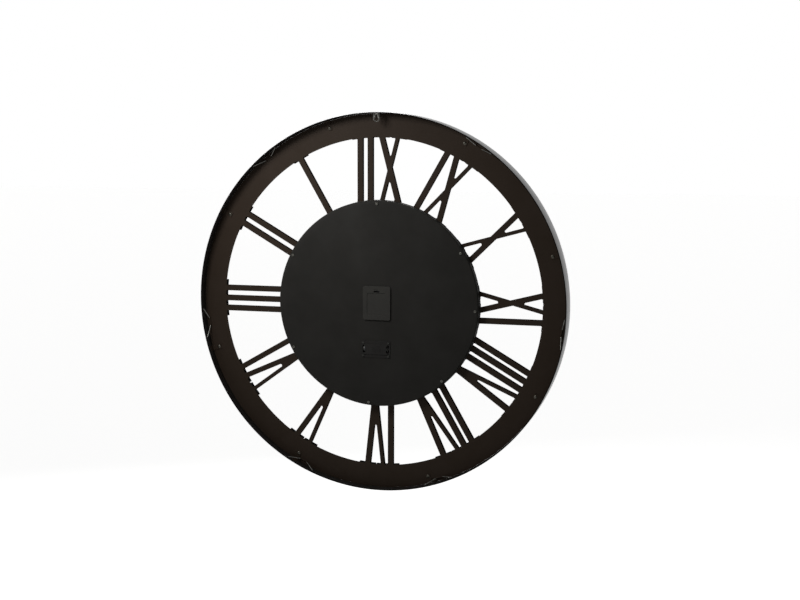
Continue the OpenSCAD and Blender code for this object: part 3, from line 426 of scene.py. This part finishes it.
# Faces that a test picks by their middle and direction take a second material
def coatFaces(piece, material, test):
    piece.data.materials.append(material)
    for face in piece.data.polygons:
        if test(face.center, face.normal):
            face.material_index = 1


# Slivers left where a bevel or a cut ends are closed up
def closeSlivers(piece):
    sliver = 0.003 * mm
    selectVertices(piece, lambda co: True)
    bpy.ops.mesh.dissolve_degenerate(threshold=sliver)
    bpy.ops.mesh.select_all(action="SELECT")
    bpy.ops.mesh.remove_doubles(threshold=sliver)
    bpy.ops.object.mode_set(mode="OBJECT")


# Edges sharper than an angle are broken by a small radius, as paint, pressing and moulding do
def breakEdges(piece, radius, degrees=40):
    applyModifier(piece, "BEVEL", width=radius, segments=2, limit_method="ANGLE",
                  angle_limit=math.radians(degrees), use_clamp_overlap=True, harden_normals=True)
    closeSlivers(piece)


# A loose copy of a CAD node, with its doubled corners merged and its flat faces whole again
def copyOf(node):
    only(nodes[node])
    bpy.ops.object.duplicate()
    piece = bpy.context.object
    piece.parent = None
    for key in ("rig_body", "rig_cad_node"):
        del piece[key]
    bpy.ops.object.mode_set(mode="EDIT")
    bpy.ops.mesh.select_all(action="SELECT")
    bpy.ops.mesh.remove_doubles(threshold=0.002 * mm)
    bpy.ops.mesh.dissolve_limited(angle_limit=math.radians(0.5))
    bpy.ops.object.mode_set(mode="OBJECT")
    return piece


def finishPiece(piece, node):
    first, *rest = node.split("_")
    piece.name = first + "".join(word.title() for word in rest)
    coat(piece, materialOf[node])
    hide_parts(node)
    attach(piece, bodyOfNode[node])
    return piece


edgeRadiusMm = {
    "hanger_bracket": 0.25,
    "rear_pan": 0.2,
    "access_cover": 0.35,
    "battery_tray": 0.25,
    "battery_lid": 0.25,
    "movement_front_case": 0.4,
    "movement_back_case": 0.4,
    "set_knob": 0.1,
    "plate_clips": 0.2,
    "clip_rivets": 0.1,
    "pan_standoffs": 0.2,
    "hour_hand": 0.25,
    "minute_hand": 0.25,
    "hand_nut": 0.25,
    "hex_nut": 0.3,
    "brass_washer": 0.12,
    "rubber_washer": 0.2,
    **{name: 0.6 for name in numeralNames},
    "numeral_plate": 0.2,
}
for node, radiusMm in edgeRadiusMm.items():
    piece = copyOf(node)
    smooth(piece)
    breakEdges(piece, radiusMm * mm)
    finishPiece(piece, node)
    if node.startswith("numeral_"):   # painted shade: the side faces of sheet and numerals take a dead-flat black that stands in for the shade on them
        coatFaces(piece, materials["flatBlackEdgeCoat"], lambda spot, facing: abs(facing.y) < 0.5)
print("softened copies done")


wireSizes = {"endRadius": 0.1 * mm, "sprayedFoot": 3.2 * mm}


# A copy of a wire whose eight flat sides are drawn out round and whose cut ends stay square
def makeWire(node, sizes):
    wire = copyOf(node)
    bpy.ops.object.mode_set(mode="EDIT")
    bpy.ops.mesh.select_all(action="SELECT")
    bpy.ops.mesh.tris_convert_to_quads(face_threshold=math.radians(60), shape_threshold=math.radians(60))
    bpy.ops.object.mode_set(mode="OBJECT")
    applyModifier(wire, "BEVEL", width=sizes["endRadius"], segments=2, limit_method="ANGLE",
                  angle_limit=math.radians(65))
    applyModifier(wire, "SUBSURF", levels=2, render_levels=2)
    smooth(wire, 60)
    return finishPiece(wire, node)


wires = {node: makeWire(node, wireSizes)
         for node in ("retaining_springs", "spring_contact", "red_lead", "black_lead")}
brownFootTop = plateBack + wireSizes["sprayedFoot"]   # the springs' feet, up to this height, take the plate's brown coat and show dark there
coatFaces(wires["retaining_springs"], materials["brownPowderCoat"],
          lambda spot, facing: spot.y < brownFootTop)
print("wires done")


screwSizes = {
    "headHeight": 1.8 * mm,
    "crown": 1.45,          # radius of the head's top, in head radii
    "shoulder": 0.55,       # round of its rim, in head heights
    "chamfer": 0.12,        # under the head, in head heights
    "shank": 1.45 * mm,
    "thread": 0.25 * mm,
    "pitch": 0.6 * mm,
    "plain": 0.8 * mm,      # unthreaded at both ends
    "tip": 0.5,             # of the shank
    "crossWidth": 0.24,     # in head radii
    "crossLength": 1.24,    # in head radii
    "crossDepth": 0.62,     # in head heights
    "crossTaper": 0.6,
    "edge": 0.06 * mm,
    "steps": 40,
}


# One point drawn out along a section of (radius, depth), then spun about an axis along Y
def turnPiece(section, steps):
    deselect()
    bpy.ops.mesh.primitive_plane_add(size=mm, location=(0, 0, 0))
    piece = bpy.context.object
    selectVertices(piece, lambda co: True)
    bpy.ops.mesh.merge(type="CENTER")
    bpy.ops.transform.translate(value=(section[0][0], section[0][1], 0))
    for (r0, y0), (r1, y1) in zip(section, section[1:]):
        bpy.ops.mesh.extrude_region_move(TRANSFORM_OT_translate={"value": (r1 - r0, y1 - y0, 0)})
    bpy.ops.mesh.select_all(action="SELECT")
    bpy.ops.mesh.spin(steps=steps, angle=math.tau, center=(0, 0, 0), axis=(0, 1, 0))
    bpy.ops.mesh.select_all(action="SELECT")
    bpy.ops.mesh.remove_doubles(threshold=0.004 * mm)
    bpy.ops.mesh.normals_make_consistent(inside=False)
    bpy.ops.object.mode_set(mode="OBJECT")
    return piece


def arc(centre, radius, start, end, count):
    angles = [math.radians(start + (end - start) * k / count) for k in range(count + 1)]
    return [(centre[0] + radius * math.cos(a), centre[1] + radius * math.sin(a)) for a in angles]


def threadSection(crest, depth, top, bottom, pitch):
    turns = int((top - bottom) / pitch)
    return [(crest - depth * (k % 2), top - pitch / 2 * k) for k in range(2 * turns + 1)]


# One bar of the cross recess, narrower at its foot, cut into the head at an angle
def cutCross(screw, sizes, headRadius, degrees):
    head, above = sizes["headHeight"], 0.4 * mm
    depth = sizes["crossDepth"] * head
    deselect()
    bpy.ops.mesh.primitive_cube_add(size=1, location=(0, head + (above - depth) / 2, 0),
                                    rotation=(0, math.radians(degrees), 0),
                                    scale=(sizes["crossWidth"] * headRadius, depth + above,
                                           sizes["crossLength"] * headRadius))
    cutter = bpy.context.object
    selectVertices(cutter, lambda co: co.y < 0)
    bpy.ops.transform.resize(value=(sizes["crossTaper"], 1, sizes["crossTaper"]), orient_type="LOCAL")
    bpy.ops.object.mode_set(mode="OBJECT")
    applyPlace(cutter)
    applyModifier(screw, "BOOLEAN", object=cutter, operation="DIFFERENCE", solver="EXACT")
    bpy.data.objects.remove(cutter)


# A pan-head screw with a cross recess, its seat at depth 0 and its head towards +Y
def makeScrew(sizes, headRadius, length):
    head, shank, plain = sizes["headHeight"], sizes["shank"], sizes["plain"]
    crown, shoulder = sizes["crown"] * headRadius, sizes["shoulder"] * head
    chamfer = sizes["chamfer"] * head
    section = arc((0, head - crown), crown, 90, 64, 6)   # from the middle of the crown outwards
    section += arc((headRadius - shoulder, head - shoulder), shoulder, 40, 0, 4)
    section += [(headRadius, chamfer), (headRadius - chamfer, 0), (shank, 0)]
    section += threadSection(shank, sizes["thread"], -plain, plain - length, sizes["pitch"])
    section += [(sizes["tip"] * shank, -length), (0, -length)]
    screw = turnPiece(section, sizes["steps"])
    for degrees in (45, 135):
        cutCross(screw, sizes, headRadius, degrees)
    smooth(screw, 30)
    breakEdges(screw, sizes["edge"], 50)
    return screw


# Boxes round the solids of a node, told apart by where they lie as seen from the back
def solidBoxes(node, spread=2 * mm):
    boxes = []
    for vertex in nodes[node].data.vertices:
        co = vertex.co
        for low, high in boxes:
            if all(low[k] - spread < co[k] < high[k] + spread for k in (0, 2)):
                for k in range(3):
                    low[k], high[k] = min(low[k], co[k]), max(high[k], co[k])
                break
        else:
            boxes.append((co.copy(), co.copy()))
    return boxes


# A screw for each solid of a node, each turned a little differently, joined as one piece
def fitScrews(node, sizes):
    boxes = solidBoxes(node)
    low, high = boxes[0]
    pattern = makeScrew(sizes, (high.x - low.x) / 2, high.y - low.y - sizes["headHeight"])
    screws = []
    for low, high in boxes:
        only(pattern)
        bpy.ops.object.duplicate()
        screw = bpy.context.object
        screw.rotation_euler.y = random.Random(round(low.x / mm)).uniform(0, math.pi / 2)
        screw.location = ((low.x + high.x) / 2, high.y - sizes["headHeight"], (low.z + high.z) / 2)
        applyPlace(screw)
        screws.append(screw)
    bpy.data.objects.remove(pattern)
    deselect()
    for screw in screws:
        screw.select_set(True)
    bpy.context.view_layer.objects.active = screws[0]
    bpy.ops.object.join()
    finishPiece(screws[0], node)


fitScrews("pan_screws", screwSizes)
fitScrews("tray_screws", screwSizes)
print("screws done")


rimSizes = {"thick": 2 * mm, "lip": 10 * mm, "bend": 3 * mm, "edge": 0.35 * mm, "steps": 288}


def near(value, goal):
    return abs(value - goal) < 0.01 * mm   # corners never lie closer together than this


def bevelCorner(piece, x, y, radius, segments):
    selectVertices(piece, lambda co: near(co.x, x) and near(co.y, y))
    bpy.ops.mesh.bevel(offset=radius, offset_type="OFFSET", segments=segments, affect="VERTICES", profile=0.5)


# Painted shade: behind the plate, the rim's inner wall and its rear edge take a flat black with no lacquer,
# standing in for the shade in the corner there
def paintedShadeRimFaces(spot, facing):
    outward = ((spot - axisAt) * Vector((1, 0, 1))).normalized()
    return spot.y > plateBack and facing.dot(outward) < 0.01


# The rolled band: its section drawn flat, rounded at the bend and the edges, then spun
def makeRim(sizes):
    deselect()
    thick, inner, lipEnd = sizes["thick"], rimRadius - sizes["thick"], rimRadius - sizes["lip"]
    lipBack = rimFront + thick
    bpy.ops.mesh.primitive_plane_add(size=1, location=(rimRadius - thick / 2, rimFront / 2, 0))
    rim = bpy.context.object
    rim.scale = (thick, -rimFront, 1)
    applyPlace(rim)
    bpy.ops.object.mode_set(mode="EDIT")
    bpy.ops.mesh.select_all(action="SELECT")
    bpy.ops.mesh.bisect(plane_co=(0, lipBack, 0), plane_no=(0, 1, 0))
    selectVertices(rim, lambda co: near(co.x, inner) and co.y < lipBack + 0.01 * thick)
    bpy.ops.mesh.extrude_region_move(TRANSFORM_OT_translate={"value": (lipEnd - inner, 0, 0)})
    bpy.ops.mesh.select_all(action="SELECT")
    bpy.ops.mesh.dissolve_limited(angle_limit=math.radians(1))
    bevelCorner(rim, rimRadius, rimFront, sizes["bend"], 7)
    bevelCorner(rim, inner, lipBack, sizes["bend"] - thick, 4)
    for x, y in ((rimRadius, 0), (inner, 0), (lipEnd, rimFront), (lipEnd, lipBack)):
        bevelCorner(rim, x, y, sizes["edge"], 2)
    bpy.ops.mesh.select_all(action="SELECT")
    bpy.ops.mesh.delete(type="ONLY_FACE")
    bpy.ops.mesh.select_all(action="SELECT")
    bpy.ops.mesh.spin(steps=sizes["steps"], angle=math.tau, center=(0, 0, 0), axis=(0, 1, 0))
    bpy.ops.mesh.select_all(action="SELECT")
    bpy.ops.mesh.remove_doubles(threshold=0.01 * mm)
    bpy.ops.mesh.normals_make_consistent(inside=False)
    bpy.ops.object.mode_set(mode="OBJECT")
    rim.location = axisAt
    applyPlace(rim)
    smooth(rim)
    finishPiece(rim, "rim_band")
    # painted shade on the rim's inner wall and rear edge behind the plate
    coatFaces(rim, materials["flatBlackEdgeCoat"], paintedShadeRimFaces)


makeRim(rimSizes)
print("rim done")


# 1 for a ray of any of these kinds, else 0
def rayIs(tree, *kinds):
    rays = addNode(tree, "ShaderNodeLightPath")
    found = rays.outputs[kinds[0]]
    for kind in kinds[1:]:
        found = addNode(tree, "ShaderNodeMath", {"operation": "MAXIMUM"},
                        {0: found, 1: rays.outputs[kind]}).outputs[0]
    return found


# The floor's drop below the clock and its size are in metres
floorSizes = {"drop": 0.7, "size": 60, "colour": "#f4f4f2", "rough": 0.9, "glow": 0.87}


# A pale floor that glows where it is seen and throws no light of its own on matt surfaces
def makeFloor(sizes):
    deselect()
    bpy.ops.mesh.primitive_plane_add(size=sizes["size"], location=(0, 0, cadBox[0].z - sizes["drop"]))
    floor = bpy.context.object
    floor.name = "floor"
    material, tree, shader = newMaterial("paleFloor")
    setNode(tree, shader, {"Base Color": linear(sizes["colour"]), "Roughness": sizes["rough"]})
    seen = rayIs(tree, "Is Glossy Ray", "Is Transmission Ray", "Is Camera Ray")
    strength = addNode(tree, "ShaderNodeMath", {"operation": "MULTIPLY", 1: sizes["glow"]}, {0: seen})
    glow = addNode(tree, "ShaderNodeEmission", {"Color": (1, 1, 1, 1)}, {"Strength": strength.outputs[0]})
    both = addNode(tree, "ShaderNodeAddShader", links={0: shader.outputs[0], 1: glow.outputs[0]})
    tree.links.new(both.outputs[0], tree.nodes["Material Output"].inputs["Surface"])
    coat(floor, material)


roomLight = {"front": 0.9, "back": 0.25, "fadeFrom": -0.2, "fadeTo": 0.7, "onMatt": 0.08}


# A room that is white to the camera, dim to matt surfaces, and to glossy ones fades towards +Y
def makeWorld(look):
    world = bpy.data.worlds.new("studio")
    bpy.context.scene.world = world
    world.use_nodes = True
    tree = world.node_tree
    coords = addNode(tree, "ShaderNodeTexCoord").outputs["Generated"]
    towards = addNode(tree, "ShaderNodeSeparateXYZ", links={"Vector": coords})
    fade = addNode(tree, "ShaderNodeMapRange",
                   {"From Min": look["fadeFrom"], "From Max": look["fadeTo"],
                    "To Min": look["front"], "To Max": look["back"]},
                   {"Value": towards.outputs["Y"]})
    glossy = rayIs(tree, "Is Glossy Ray", "Is Transmission Ray")
    shine = addNode(tree, "ShaderNodeMath", {"operation": "MULTIPLY"},
                    {0: glossy, 1: fade.outputs["Result"]})
    seen = addNode(tree, "ShaderNodeMath", {"operation": "MAXIMUM"},
                   {0: shine.outputs[0], 1: rayIs(tree, "Is Camera Ray")})
    strength = addNode(tree, "ShaderNodeMath", {"operation": "MAXIMUM", 1: look["onMatt"]},
                       {0: seen.outputs[0]})
    setNode(tree, tree.nodes["Background"], {"Color": (1, 1, 1, 1)}, {"Strength": strength.outputs[0]})


# Place, aim and size are in metres, power in watts and spread in degrees
lights = {
    "backSoftbox": {"place": (0.42, 0.6, 0.66), "aim": (0.08, 0, 0.14), "size": 0.35,
                    "power": 2.2, "spread": 100},
    "frontSoftbox": {"place": (1.0, -1.7, 1.1), "aim": (0, 0, 0), "size": 1.2,
                     "power": 44, "spread": 180},
}


# A square light, placed and aimed from the clock's axis
def makeLight(name, look):
    data = bpy.data.lights.new(name, "AREA")
    data.shape = "RECTANGLE"
    data.size = data.size_y = look["size"]
    data.energy = look["power"]
    data.spread = math.radians(look["spread"])
    light = bpy.data.objects.new(name, data)
    bpy.context.scene.collection.objects.link(light)
    light.location = axisAt + Vector(look["place"])
    beam = Vector(look["aim"]) - Vector(look["place"])
    light.rotation_euler = beam.to_track_quat("-Z", "Y").to_euler()
    light.visible_camera = False


# Angles in degrees, distance in metres, sensor and lens in millimetres
cameraAt = {"azimuth": 196.54, "elevation": 7.31, "distance": 2.628, "sensor": 36, "lens": 59.3,
            "shiftX": 0.0297, "shiftY": 0.0056}


def makeCamera(sizes):
    a, e = math.radians(sizes["azimuth"]), math.radians(sizes["elevation"])
    back = Vector((math.sin(a) * math.cos(e), -math.cos(a) * math.cos(e), math.sin(e)))
    data = bpy.data.cameras.new("camera")
    data.sensor_width, data.lens = sizes["sensor"], sizes["lens"]
    data.shift_x, data.shift_y = sizes["shiftX"], sizes["shiftY"]
    camera = bpy.data.objects.new("camera", data)
    bpy.context.scene.collection.objects.link(camera)
    camera.location = axisAt + back * sizes["distance"]
    camera.rotation_euler = (-back).to_track_quat("-Z", "Y").to_euler()
    bpy.context.scene.camera = camera


makeFloor(floorSizes)
makeWorld(roomLight)
for name, look in lights.items():
    makeLight(name, look)
makeCamera(cameraAt)
bpy.context.scene.view_settings.view_transform = "Standard"
print("stage done")
